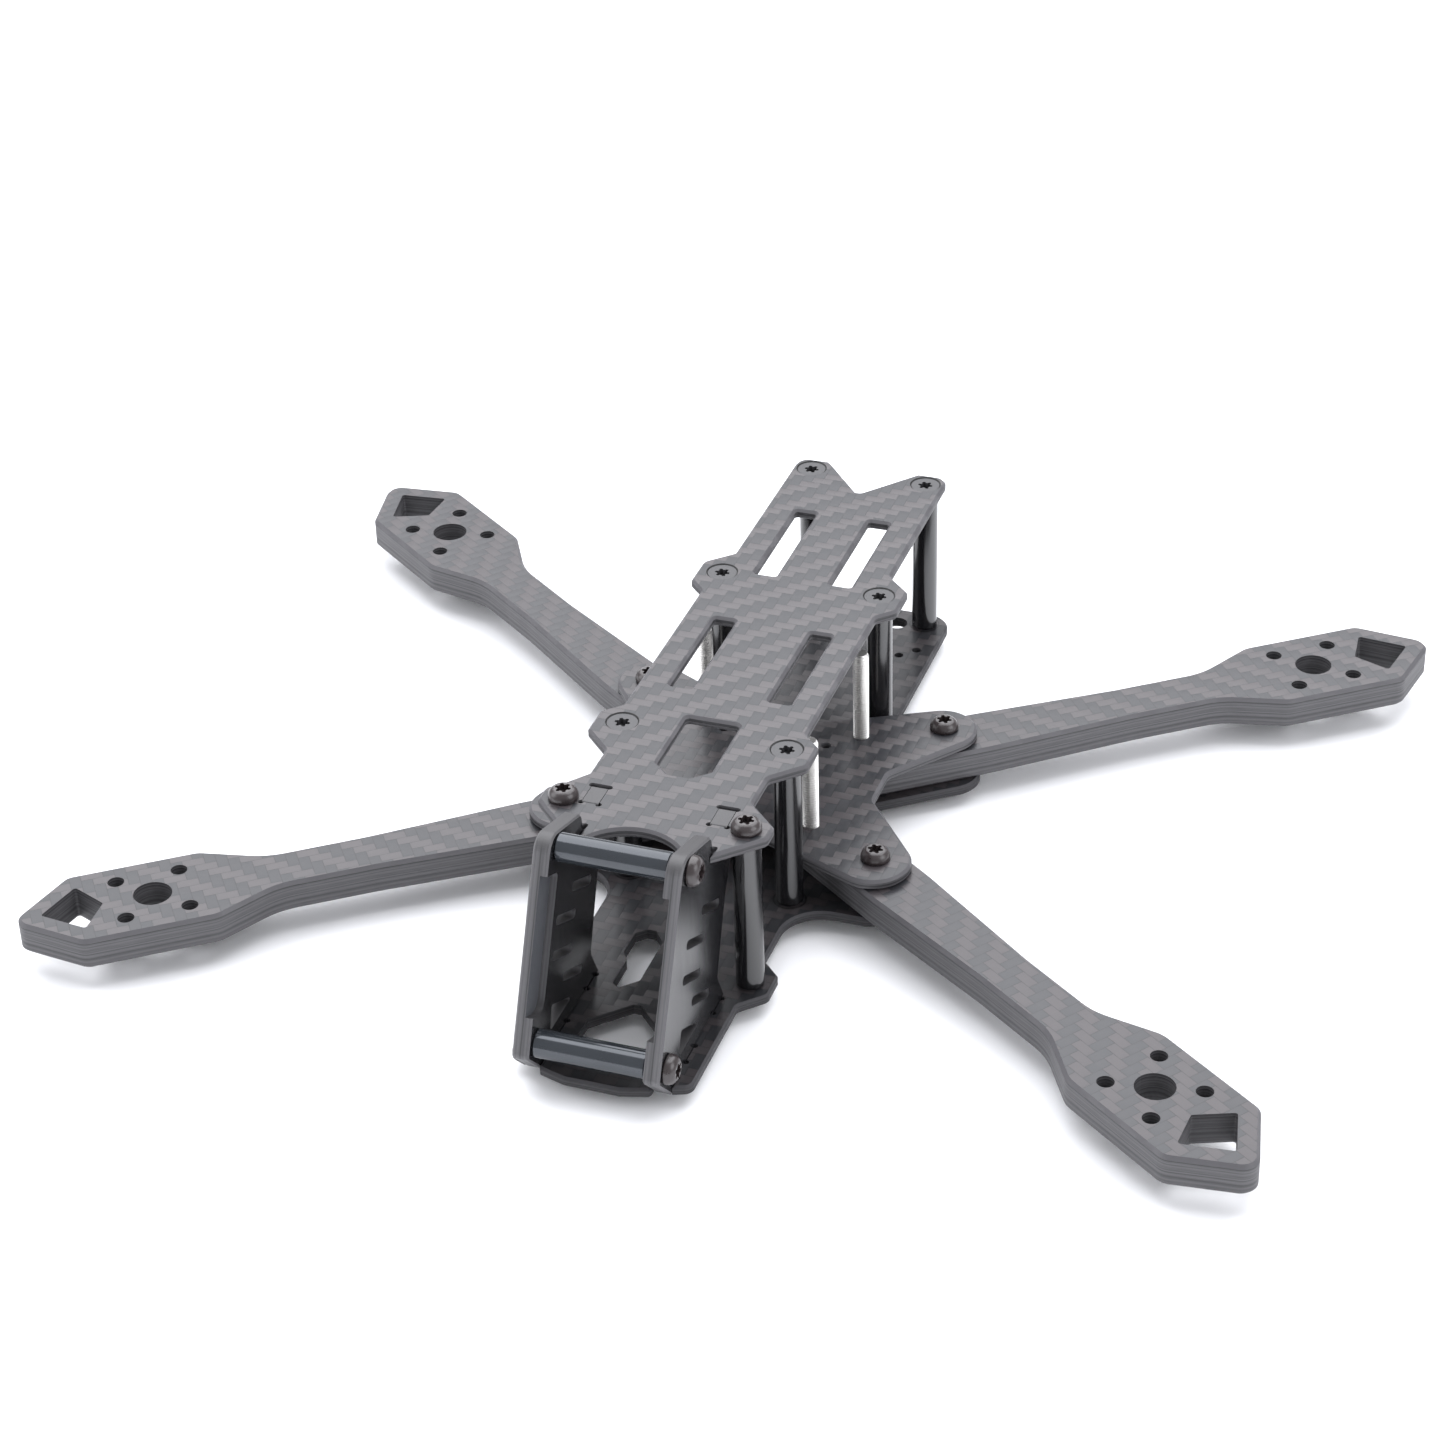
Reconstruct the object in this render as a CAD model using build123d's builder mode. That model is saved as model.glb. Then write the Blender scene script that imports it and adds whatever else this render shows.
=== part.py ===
"""Carbon-fibre airframe of a 5-inch quadcopter, without motors or electronics.

Frame: +X to the right, +Y to the tail, +Z up. The origin is the centre of the
30.5 mm stack pattern, on the mid plate's top face. Millimetres.
"""

from build123d import *
from math import acos, atan2, cos, hypot, radians, sin
import os

os.makedirs("parts", exist_ok=True)

# --- Driving dimensions -----------------------------------------------------

WHEELBASE = 225.0  # motor axis to motor axis, across the frame
ARM_ANGLE = 36.6  # each arm's angle from the X axis, in degrees
ARM_T = 6.0
PLATE_T = 2.0
SIDE_T = 3.0
STANDOFF_LENGTH = 30.0
STANDOFF_D = 5.0
STANDOFF_CHAMFER = 0.35
THREAD_DEPTH = 9.0  # of the thread in each end of a standoff
CAMERA_GAP = 20.0  # between the two camera side plates

PLATE_CHAMFER = 0.5
SIDE_CHAMFER = 0.3
ARM_CHAMFER = 0.6

STACK_PITCH = 30.5  # square pattern of the stack screws
SMALL_STACK_PITCH = 20.0
STACK_SCREW_TIP = 18.0  # height of the stack screws above the mid plate
MOTOR_PCD = 16.0

# M3 hardware
THREAD_R = 1.5
THREAD_GAP = 0.03  # radial play between a screw and its thread
SHANK_R = 1.25  # plain shank of the stack screws, inside the plates
CLEARANCE_R = 1.6
HEAD_D = 5.3
HEAD_H = 2.0
SINK_D = 5.5  # countersunk head, and the wider countersink around it
COUNTERSINK_D = 6.0
SUNK_BELOW = 0.2  # the countersunk heads lie this far below the plate's face
TIP_CHAMFER = 0.4  # on the ends of the screws
SCREW_LENGTH = 8.0
LOBE_SCREW_LENGTH = 12.0
NUT_ACROSS_FLATS = 5.5
NUT_H = 2.4
TORX_R = 0.98  # T10 recess: its core, and the six lobes around it
TORX_LOBE_R = 0.35
TORX_LOBE_OFFSET = 1.08
TORX_DEPTH = 1.2
RELIEF_R = 0.55  # at the corners of the slots for tabs

# Levels
MID_BOTTOM = -PLATE_T
BASE_TOP = MID_BOTTOM - ARM_T
BASE_BOTTOM = BASE_TOP - PLATE_T
TOP_BOTTOM = BASE_TOP + STANDOFF_LENGTH
TOP_FACE = TOP_BOTTOM + PLATE_T

# Places on the right-hand side, mirrored to the left
LOBE = (29.4, 22.0)
STANDOFFS = {
    "rear": (11.7, 69.5),
    "rear_waist": (15.4, 26.3),
    "front_waist": (15.2, -27.7),
    "front": (16.4, -52.9),
}
SIDE_X = CAMERA_GAP / 2  # inner face of the right-hand camera plate
UPPER_CROSS = (-71.0, 35.3)  # y, and height above the bottom plate's top face
LOWER_CROSS = (-85.2, 5.1)

SIDES = {"right": 1, "left": -1}
ENDS = {"front": -1, "rear": 1}


# --- Helpers ----------------------------------------------------------------


def symmetric(half):
    """Complete a half outline, given with x >= 0, by its mirror image."""
    mirrored = [(-x, y, r) for x, y, r in reversed(half) if x > 0]
    return half + mirrored


def outline(points):
    """A face through corners given as (x, y, corner radius)."""
    with BuildSketch() as face:
        with BuildLine():
            FilletPolyline(
                *[(x, y) for x, y, _ in points], radius=[r for _, _, r in points], close=True
            )
        make_face()
    return face.sketch


def mirrored_points(point):
    """A point on the right and its mirror image on the left."""
    x, y = point
    return [(x, y), (-x, y)]


def four_corners(point):
    """A point repeated in the four quadrants."""
    x, y = point
    return [(x, y), (-x, y), (-x, -y), (x, -y)]


def touch_point(corner, centre, radius, turn):
    """Where the line from a corner touches a circle; turn is +1 or -1."""
    dx = corner[0] - centre[0]
    dy = corner[1] - centre[1]
    angle = atan2(dy, dx) + turn * acos(radius / hypot(dx, dy))
    return (centre[0] + radius * cos(angle), centre[1] + radius * sin(angle))


def relieved_slot(x0, x1, y0, y1):
    """A slot with round reliefs at its corners, for a square tab."""
    with BuildSketch() as slot:
        with Locations(((x0 + x1) / 2, (y0 + y1) / 2)):
            Rectangle(x1 - x0, y1 - y0)
        with Locations((x0, y0), (x1, y0), (x1, y1 - RELIEF_R), (x0, y1 - RELIEF_R)):
            Circle(RELIEF_R)
    return slot.sketch


def both_rims(plate):
    """The edges of a plate's top and bottom faces."""
    flat_faces = plate.faces().sort_by(Axis.Z)
    return flat_faces[-1].edges() + flat_faces[0].edges()


def torx():
    """The six-lobed outline of a screw's recess."""
    with BuildSketch() as recess:
        Circle(TORX_R)
        with PolarLocations(TORX_LOBE_OFFSET, 6):
            Circle(TORX_LOBE_R)
    return recess.sketch


def pan_screw(length):
    """A pan-head screw: head above the XY plane, shank below it."""
    crown_r = 1.6
    rim_low = 0.25
    rim_high = 0.55
    shoulder = (2.27, 1.5)
    shank_r = THREAD_R - THREAD_GAP
    with BuildPart() as screw:
        with BuildSketch(Plane.XZ):
            with BuildLine():
                Polyline(
                    (0, HEAD_H),
                    (0, -length),
                    (shank_r - TIP_CHAMFER, -length),
                    (shank_r, -length + TIP_CHAMFER),
                    (shank_r, 0),
                    (HEAD_D / 2 - rim_low, 0),
                    (HEAD_D / 2, rim_low),
                    (HEAD_D / 2, rim_high),
                )
                ThreePointArc((HEAD_D / 2, rim_high), shoulder, (crown_r, HEAD_H))
                Line((crown_r, HEAD_H), (0, HEAD_H))
            make_face()
        revolve(axis=Axis.Z)
        with BuildSketch(Plane.XY.offset(HEAD_H)):
            add(torx())
        extrude(amount=-TORX_DEPTH, mode=Mode.SUBTRACT)
    return screw.part


def countersunk_screw(length):
    """A countersunk screw, its flat head just below the XY plane."""
    shank_r = THREAD_R - THREAD_GAP
    cone_h = SINK_D / 2 - shank_r
    with BuildPart() as screw:
        with BuildSketch(Plane.XZ):
            with BuildLine():
                Polyline(
                    (0, -SUNK_BELOW),
                    (SINK_D / 2, -SUNK_BELOW),
                    (shank_r, -SUNK_BELOW - cone_h),
                    (shank_r, -length + TIP_CHAMFER),
                    (shank_r - TIP_CHAMFER, -length),
                    (0, -length),
                    close=True,
                )
            make_face()
        revolve(axis=Axis.Z)
        with BuildSketch(Plane.XY.offset(-SUNK_BELOW)):
            add(torx())
        extrude(amount=-TORX_DEPTH, mode=Mode.SUBTRACT)
    return screw.part


def standoff(length):
    """A round spacer along +Z, threaded at both ends."""
    with BuildPart() as spacer:
        Cylinder(STANDOFF_D / 2, length, align=(Align.CENTER, Align.CENTER, Align.MIN))
        chamfer(spacer.edges().filter_by(GeomType.CIRCLE), STANDOFF_CHAMFER)
        with Locations((0, 0, length)):
            Hole(THREAD_R, THREAD_DEPTH)
        with Locations(Plane((0, 0, 0), z_dir=(0, 0, -1))):
            Hole(THREAD_R, THREAD_DEPTH)
    return spacer.part


def save(part, node):
    """Label a finished piece and write its file."""
    part.label = node
    export_step(part, f"parts/{node}.step")


# --- Top plate --------------------------------------------------------------

TAB_PLAY = 0.1
TAB_INNER = SIDE_X - TAB_PLAY  # sides of the slots that take the camera plates' tabs
TAB_OUTER = SIDE_X + SIDE_T + TAB_PLAY
TOP_TAB = (-53.2, -47.3)  # the slot is longer than its tab
TOP_NOTCH_END = -59.6
NOSE_ARC_Y = -68.0
NOSE_ARC_R = 10.0
REAR_STRAP = (7.35, 27.7, 52.8)  # x of the slot's centre, and its two ends in y
FRONT_STRAP = (9.3, -14.0, 10.4)
STRAP_W = 4.2
STRAP_CORNER_R = 0.6

top_outline = outline(
    symmetric(
        [
            (0, 62.3, 1.0),
            (9.1, 73.2, 0.8),
            (15.4, 73.2, 2.5),
            (15.4, 33.8, 1.5),
            (20.1, 29.2, 1.2),
            (20.1, 21.9, 1.2),
            (17.0, 18.8, 1.5),
            (17.0, -22.2, 1.5),
            (20.2, -25.3, 1.2),
            (20.2, -31.7, 1.2),
            (14.9, -37.0, 1.5),
            (14.9, -45.0, 1.5),
            (20.6, -50.7, 1.2),
            (20.6, -54.3, 1.2),
            (TAB_OUTER, -61.8, 0.0),
            (TAB_OUTER, TOP_NOTCH_END, 0.0),
            (TAB_INNER, TOP_NOTCH_END, 0.0),
            (TAB_INNER, -63.0, 0.0),
        ]
    )
)

top_window = outline(
    symmetric(
        [
            (5.0, -22.7, 0.8),
            (5.0, -38.0, 0.8),
            (2.0, -40.8, 0.8),
        ]
    )
)


def strap_slot(place):
    """A long slot for a battery strap, with tight round corners."""
    x, y0, y1 = place
    with BuildSketch() as slot:
        for side in SIDES.values():
            with Locations((side * x, (y0 + y1) / 2)):
                RectangleRounded(STRAP_W, y1 - y0, STRAP_CORNER_R)
    return slot.sketch


with BuildPart() as top_plate:
    with BuildSketch(Plane.XY.offset(TOP_BOTTOM)):
        add(top_outline)
        with Locations((0, NOSE_ARC_Y)):
            Circle(NOSE_ARC_R, mode=Mode.SUBTRACT)
        add(top_window, mode=Mode.SUBTRACT)
        add(strap_slot(REAR_STRAP), mode=Mode.SUBTRACT)
        add(strap_slot(FRONT_STRAP), mode=Mode.SUBTRACT)
    extrude(amount=PLATE_T)
    chamfer(both_rims(top_plate), PLATE_CHAMFER)
    with BuildSketch(Plane.XY.offset(TOP_BOTTOM)):
        for side in SIDES.values():
            inner = side * TAB_INNER
            outer = side * TAB_OUTER
            add(relieved_slot(min(inner, outer), max(inner, outer), *TOP_TAB))
            with Locations((inner, TOP_NOTCH_END), (outer, TOP_NOTCH_END)):
                Circle(RELIEF_R)
    extrude(amount=PLATE_T, mode=Mode.SUBTRACT)
    for name in ("rear", "rear_waist", "front_waist"):
        with Locations(*[(x, y, TOP_FACE) for x, y in mirrored_points(STANDOFFS[name])]):
            CounterSinkHole(CLEARANCE_R, COUNTERSINK_D / 2, PLATE_T, 90)
    with Locations(*[(x, y, TOP_FACE) for x, y in mirrored_points(STANDOFFS["front"])]):
        Hole(CLEARANCE_R, PLATE_T)
save(top_plate.part, "top_plate")


# --- Mid plate --------------------------------------------------------------

SMALL_HOLE_R = 1.0
WAIST = (23.7, 4.6)  # corner of the side edge, between the front and rear lobes
MID_LOBES = {"front": ((29.0, -22.4), 6.9), "rear": ((29.1, 22.1), 6.4)}
MID_SHOULDERS = {"front": (8.1, -21.3), "rear": (8.1, 18.4)}
MID_APEX = {"front": (0, -18.4), "rear": (0, 15.7)}


def mid_lobe_edge(end_name):
    """The right-hand edge from the centre line, past one lobe, to the waist."""
    end = ENDS[end_name]
    centre, radius = MID_LOBES[end_name]
    waist = (WAIST[0], end * WAIST[1])
    shoulder = MID_SHOULDERS[end_name]
    from_shoulder = touch_point(shoulder, centre, radius, -end)
    to_waist = touch_point(waist, centre, radius, end)
    return [
        (*MID_APEX[end_name], 2.0),
        (*shoulder, 6.0),
        (*from_shoulder, 0.0),
        (*centre, 0.0),
        (*to_waist, 0.0),
        (*waist, 3.0),
    ]


with BuildPart() as mid_plate:
    with BuildSketch(Plane.XY.offset(MID_BOTTOM)):
        add(outline(symmetric(mid_lobe_edge("rear") + mid_lobe_edge("front")[::-1])))
        for centre, radius in MID_LOBES.values():
            with Locations(*mirrored_points(centre)):
                Circle(radius)
    extrude(amount=PLATE_T)
    chamfer(both_rims(mid_plate), PLATE_CHAMFER)
    with Locations(Plane.XY):
        with GridLocations(STACK_PITCH, STACK_PITCH, 2, 2):
            Hole(CLEARANCE_R, PLATE_T)
        with GridLocations(SMALL_STACK_PITCH, SMALL_STACK_PITCH, 2, 2):
            Hole(SMALL_HOLE_R, PLATE_T)
        with Locations(*four_corners(LOBE)):
            Hole(CLEARANCE_R, PLATE_T)
save(mid_plate.part, "mid_plate")


# --- Bottom plate -----------------------------------------------------------

BASE_CHAMFER = 0.4
BASE_FLANK = 8.3  # from an arm's axis to the plate's edge beside it
BASE_FOOT_END = 41.9  # how far the plate reaches out below each arm
BASE_FOOT_Y = 29.5  # front and rear edges of the feet
BASE_X = 16.5
BASE_NOSE_X = 16.2
BASE_WAIST_X = 19.5
FRONT_TABS = ((-62.8, -58.0), (-76.7, -71.6))
BASE_NOTCH_END = -81.0
FOOT_CORNER_X = 32.5  # where a foot's straight edge turns along the arm
TAIL_HOLE = (6.3, 68.3)
TAIL_HOLE_R = 2.1
TIE_HOLES = ((10.2, 56.7), (13.0, 59.5))
TIE_HOLE_R = 0.9


def base_foot(end):
    """The plate's edge around the foot below one right arm, from the centre line out."""
    angle = radians(ARM_ANGLE)
    corner_x = BASE_FOOT_END * cos(angle) + BASE_FLANK * sin(angle)
    corner_y = BASE_FOOT_END * sin(angle) - BASE_FLANK * cos(angle)
    waist_y = (BASE_WAIST_X * sin(angle) - BASE_FLANK) / cos(angle)
    return [
        (BASE_X, end * BASE_FOOT_Y, 7.5),
        (FOOT_CORNER_X, end * BASE_FOOT_Y, 6.0),
        (corner_x, end * corner_y, 6.0),
        (BASE_WAIST_X, end * waist_y, 3.0),
    ]


base_right = [
    (BASE_X, 73.8, 5.0),
    *base_foot(1),
    *base_foot(-1)[::-1],
    (BASE_X, -45.8, 1.5),
    (20.4, -49.7, 1.5),
    (20.4, -55.4, 1.5),
    (BASE_NOSE_X, -59.6, 1.5),
    (BASE_NOSE_X, -82.4, 1.8),
    (TAB_OUTER, -83.6, 0.0),
    (TAB_OUTER, BASE_NOTCH_END, 0.0),
    (TAB_INNER, BASE_NOTCH_END, 0.0),
    (TAB_INNER, -85.2, 0.6),
    (5.0, -86.6, 1.0),
]

nose_window = outline(
    [
        (4.2, -43.7, 0.5),
        (5.9, -43.7, 0.5),
        (7.6, -45.4, 0.5),
        (7.6, -51.0, 0.5),
        (6.3, -53.0, 0.5),
        (6.3, -60.0, 0.5),
        (4.9, -61.0, 0.5),
        (2.0, -58.0, 0.5),
        (2.0, -46.5, 0.5),
    ]
)

nose_opening = outline(
    symmetric(
        [
            (0.7, -64.6, 0.0),
            (6.8, -70.8, 0.8),
            (6.8, -77.0, 0.8),
            (3.0, -79.5, 0.8),
        ]
    )
)

with BuildPart() as bottom_plate:
    with BuildSketch(Plane.XY.offset(BASE_BOTTOM)):
        add(outline(symmetric(base_right)))
    extrude(amount=PLATE_T)
    chamfer(both_rims(bottom_plate), BASE_CHAMFER)
    with BuildSketch(Plane.XY.offset(BASE_BOTTOM)):
        add(nose_opening)
        add(nose_window)
        add(mirror(nose_window, about=Plane.YZ, mode=Mode.PRIVATE))
        for side in SIDES.values():
            inner = side * TAB_INNER
            outer = side * TAB_OUTER
            for tab in FRONT_TABS:
                add(relieved_slot(min(inner, outer), max(inner, outer), *tab))
            with Locations((inner, BASE_NOTCH_END), (outer, BASE_NOTCH_END)):
                Circle(RELIEF_R)
    extrude(amount=PLATE_T, mode=Mode.SUBTRACT)
    with Locations(Plane.XY.offset(BASE_TOP)):
        for name in STANDOFFS:
            with Locations(*mirrored_points(STANDOFFS[name])):
                Hole(CLEARANCE_R, PLATE_T)
        with Locations(*four_corners(LOBE)):
            Hole(CLEARANCE_R, PLATE_T)
        with GridLocations(STACK_PITCH, STACK_PITCH, 2, 2):
            Hole(CLEARANCE_R, PLATE_T)
        with Locations(*mirrored_points(TAIL_HOLE)):
            Hole(TAIL_HOLE_R, PLATE_T)
        for tie_hole in TIE_HOLES:
            with Locations(*mirrored_points(tie_hole)):
                Hole(TIE_HOLE_R, PLATE_T)
save(bottom_plate.part, "bottom_plate")


# --- Arms -------------------------------------------------------------------

MOTOR_RADIUS = WHEELBASE / 2
MOTOR_BORE_R = 3.45
MOTOR_HOLE_R = 1.5
ARM_END = 14.5  # distance of an arm's inner end from the frame's centre
ARM_ROOT_HALF = 6.3  # half widths of an arm at its root, its waist and the motor pad
ARM_WAIST_HALF = 5.0
PAD_HALF = 10.35
LOBE_DISTANCE = hypot(*LOBE)

arm_half = [
    (ARM_END, 4.8, 0.0),
    (ARM_END + 1.5, ARM_ROOT_HALF, 0.0),
    (44.0, ARM_ROOT_HALF, 40.0),
    (73.0, ARM_WAIST_HALF, 40.0),
    (91.0, ARM_WAIST_HALF, 14.0),
    (102.6, PAD_HALF, 5.0),
    (126.4, PAD_HALF, 3.0),
]
arm_outline = outline(arm_half + [(137.7, 0.0, 3.0)] + [(x, -y, r) for x, y, r in arm_half[::-1]])

pad_window = outline(
    [
        (121.3, 0.0, 0.5),
        (125.3, 6.4, 0.5),
        (132.3, 0.0, 0.5),
        (125.3, -6.4, 0.5),
    ]
)

for end_name, end in ENDS.items():
    for side_name, side in SIDES.items():
        heading = (side * cos(radians(ARM_ANGLE)), end * sin(radians(ARM_ANGLE)), 0)
        along_arm = Plane((0, 0, MID_BOTTOM), x_dir=heading, z_dir=(0, 0, 1))
        stack_hole = along_arm.to_local_coords(
            Vector(side * STACK_PITCH / 2, end * STACK_PITCH / 2, MID_BOTTOM)
        )
        with BuildPart() as arm:
            with BuildSketch(along_arm):
                add(arm_outline)
            extrude(amount=-ARM_T)
            chamfer(both_rims(arm), ARM_CHAMFER)
            with BuildSketch(along_arm):
                add(pad_window)
            extrude(amount=-ARM_T, mode=Mode.SUBTRACT)
            with Locations(along_arm):
                with Locations((MOTOR_RADIUS, 0)):
                    Hole(MOTOR_BORE_R, ARM_T)
                    with PolarLocations(MOTOR_PCD / 2, 4, start_angle=45):
                        Hole(MOTOR_HOLE_R, ARM_T)
                with Locations((LOBE_DISTANCE, 0), (stack_hole.X, stack_hole.Y)):
                    Hole(CLEARANCE_R, ARM_T)
        save(arm.part, f"arm_{end_name}_{side_name}")


# --- Camera side plates -----------------------------------------------------
# Their outline is in (y, height above the bottom plate's top face).

CAGE_LEAN = 0.444  # how far the front edge goes back for each mm up
CAGE_FRONT = -91.0  # where that edge would meet the bottom plate's top face
SLAT_ANGLE = -26.0
SLAT_W = 1.7
SLAT_LENGTH = 9.2
RECESS_DEPTH = 1.25
RECESS_W = 5.1
RECESS_ENDS = (10.8, 32.8)
SHORT_EDGE = 6.0  # the tabs' and corners' edges, up to this length, stay sharp


def front_edge(height):
    """The y of the leaning front edge at a height."""
    return CAGE_FRONT + CAGE_LEAN * height


cage_outline = outline(
    [
        (front_edge(4.3), 4.3, 1.0),
        (-83.2, -PLATE_T, 0.8),
        (-81.0, -PLATE_T, 0.0),
        (-81.0, 0.0, 0.0),
        (-76.6, 0.0, 0.0),
        (-76.6, -PLATE_T, 0.3),
        (-71.7, -PLATE_T, 0.3),
        (-71.7, 0.0, 0.0),
        (-62.7, 0.0, 0.0),
        (-62.7, -PLATE_T, 0.3),
        (-58.1, -PLATE_T, 0.3),
        (-58.1, 0.0, 0.0),
        (-57.0, 0.0, 0.0),
        (-59.8, 5.5, 1.5),
        (-57.6, 11.5, 2.0),
        (-54.6, 19.5, 3.0),
        (-48.1, STANDOFF_LENGTH, 0.0),
        (-48.1, STANDOFF_LENGTH + PLATE_T, 0.4),
        (-53.1, STANDOFF_LENGTH + PLATE_T, 0.4),
        (-53.1, STANDOFF_LENGTH, 0.0),
        (-59.7, STANDOFF_LENGTH, 0.0),
        (-60.5, 35.0, 1.5),
        (front_edge(39.0), 39.0, 3.5),
    ]
)

edge_run = Vector(CAGE_LEAN, 1.0).normalized()
edge_inward = Vector(edge_run.Y, -edge_run.X)
recess_bottom, recess_top = [Vector(front_edge(height), height) for height in RECESS_ENDS]
recess_corners = [
    recess_top - edge_inward,
    recess_top + RECESS_W * edge_inward,
    recess_bottom + RECESS_W * edge_inward,
    recess_bottom - edge_inward,
]
recess_outline = outline([(p.X, p.Y, r) for p, r in zip(recess_corners, (0.0, 1.0, 2.5, 0.0))])

SLATS = [(-62.2, 21.9), (-69.8, 20.1), (-72.2, 14.5), (-68.5, 7.6)]  # the slots' centres

corner_slat = outline([(-79.4, 3.1, 0.6), (-78.0, 7.7, 0.6), (-69.0, 3.1, 0.4)])

SUNK_SIDE = "left"  # the camera plate whose screws are flush


def outer_spots(side):
    """Planes on a camera plate's outer face, at the ends of the cross standoffs."""
    x = side * (SIDE_X + SIDE_T)
    return [
        Plane((x, y, BASE_TOP + height), z_dir=(side, 0, 0)) for y, height in (UPPER_CROSS, LOWER_CROSS)
    ]


for side_name, side in SIDES.items():
    inner_face = Plane((side * SIDE_X, 0, BASE_TOP), x_dir=(0, 1, 0), z_dir=(1, 0, 0))
    with BuildPart() as camera_plate:
        with BuildSketch(inner_face):
            add(cage_outline)
            add(corner_slat, mode=Mode.SUBTRACT)
            with Locations(*SLATS):
                SlotOverall(SLAT_LENGTH, SLAT_W, rotation=SLAT_ANGLE, mode=Mode.SUBTRACT)
        extrude(amount=side * SIDE_T)
        rims = camera_plate.faces().filter_by(Plane.YZ).sort_by(Axis.X)
        rim_edges = rims[0].outer_wire().edges() + rims[-1].outer_wire().edges()
        chamfer(rim_edges.filter_by(lambda edge: edge.length > SHORT_EDGE), SIDE_CHAMFER)
        with BuildSketch(inner_face):
            add(recess_outline)
        extrude(amount=side * RECESS_DEPTH, mode=Mode.SUBTRACT)
        with Locations(*outer_spots(side)):
            if side_name == SUNK_SIDE:
                CounterSinkHole(CLEARANCE_R, COUNTERSINK_D / 2, SIDE_T, 90)
            else:
                Hole(CLEARANCE_R, SIDE_T)
    save(camera_plate.part, f"camera_plate_{side_name}")


# --- Spacers ----------------------------------------------------------------

for name, place in STANDOFFS.items():
    for side_name, side in SIDES.items():
        with BuildPart() as upright:
            with Locations((side * place[0], place[1], BASE_TOP)):
                add(standoff(STANDOFF_LENGTH))
        save(upright.part, f"standoff_{name}_{side_name}")

for cross_name, (y, height) in {"upper": UPPER_CROSS, "lower": LOWER_CROSS}.items():
    with BuildPart() as cross:
        with Locations(Plane((-SIDE_X, y, BASE_TOP + height), z_dir=(1, 0, 0))):
            add(standoff(CAMERA_GAP))
    save(cross.part, f"cross_standoff_{cross_name}")


# --- Screws and nuts --------------------------------------------------------


def facing(points, height, z_dir=(0, 0, 1)):
    """Planes at the same height for screws that point the same way."""
    return [Plane((x, y, height), z_dir=z_dir) for x, y in points]


down = (0, 0, -1)
stack_corner = (STACK_PITCH / 2, STACK_PITCH / 2)
all_uprights = [point for place in STANDOFFS.values() for point in mirrored_points(place)]
sunk_uprights = [point for point in all_uprights if point[1] != STANDOFFS["front"][1]]

with BuildPart() as top_sunk_screws:
    with Locations(*facing(sunk_uprights, TOP_FACE)):
        add(countersunk_screw(SCREW_LENGTH))
save(top_sunk_screws.part, "top_sunk_screws")

with BuildPart() as top_front_screws:
    with Locations(*facing(mirrored_points(STANDOFFS["front"]), TOP_FACE)):
        add(pan_screw(SCREW_LENGTH))
save(top_front_screws.part, "top_front_screws")

with BuildPart() as base_screws:
    with Locations(*facing(all_uprights, BASE_BOTTOM, down)):
        add(pan_screw(SCREW_LENGTH))
save(base_screws.part, "base_screws")

with BuildPart() as lobe_screws:
    with Locations(*facing(four_corners(LOBE), 0)):
        add(pan_screw(LOBE_SCREW_LENGTH))
save(lobe_screws.part, "lobe_screws")

with BuildPart() as lobe_nuts:
    with BuildSketch(Plane.XY.offset(BASE_BOTTOM)):
        with Locations(*four_corners(LOBE)):
            RegularPolygon(NUT_ACROSS_FLATS / 2, 6, major_radius=False)
            Circle(THREAD_R, mode=Mode.SUBTRACT)
    extrude(amount=-NUT_H)
save(lobe_nuts.part, "lobe_nuts")

with BuildPart() as stack_screws:
    with Locations(*facing(four_corners(stack_corner), BASE_BOTTOM, down)):
        add(pan_screw(STACK_SCREW_TIP - BASE_BOTTOM))
    with BuildSketch(Plane.XY.offset(BASE_BOTTOM)):
        with Locations(*four_corners(stack_corner)):
            Circle(CLEARANCE_R)
            Circle(SHANK_R, mode=Mode.SUBTRACT)
    extrude(amount=-BASE_BOTTOM, mode=Mode.SUBTRACT)
save(stack_screws.part, "stack_screws")

with BuildPart() as camera_plate_screws:
    with Locations(*outer_spots(SIDES["right"])):
        add(pan_screw(SCREW_LENGTH))
save(camera_plate_screws.part, "camera_plate_screws")

with BuildPart() as camera_plate_sunk_screws:
    with Locations(*outer_spots(SIDES[SUNK_SIDE])):
        add(countersunk_screw(SCREW_LENGTH))
save(camera_plate_sunk_screws.part, "camera_plate_sunk_screws")
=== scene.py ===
from math import cos, pi, radians, sin

import bmesh
import bpy
from mathutils import Matrix, Vector


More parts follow.
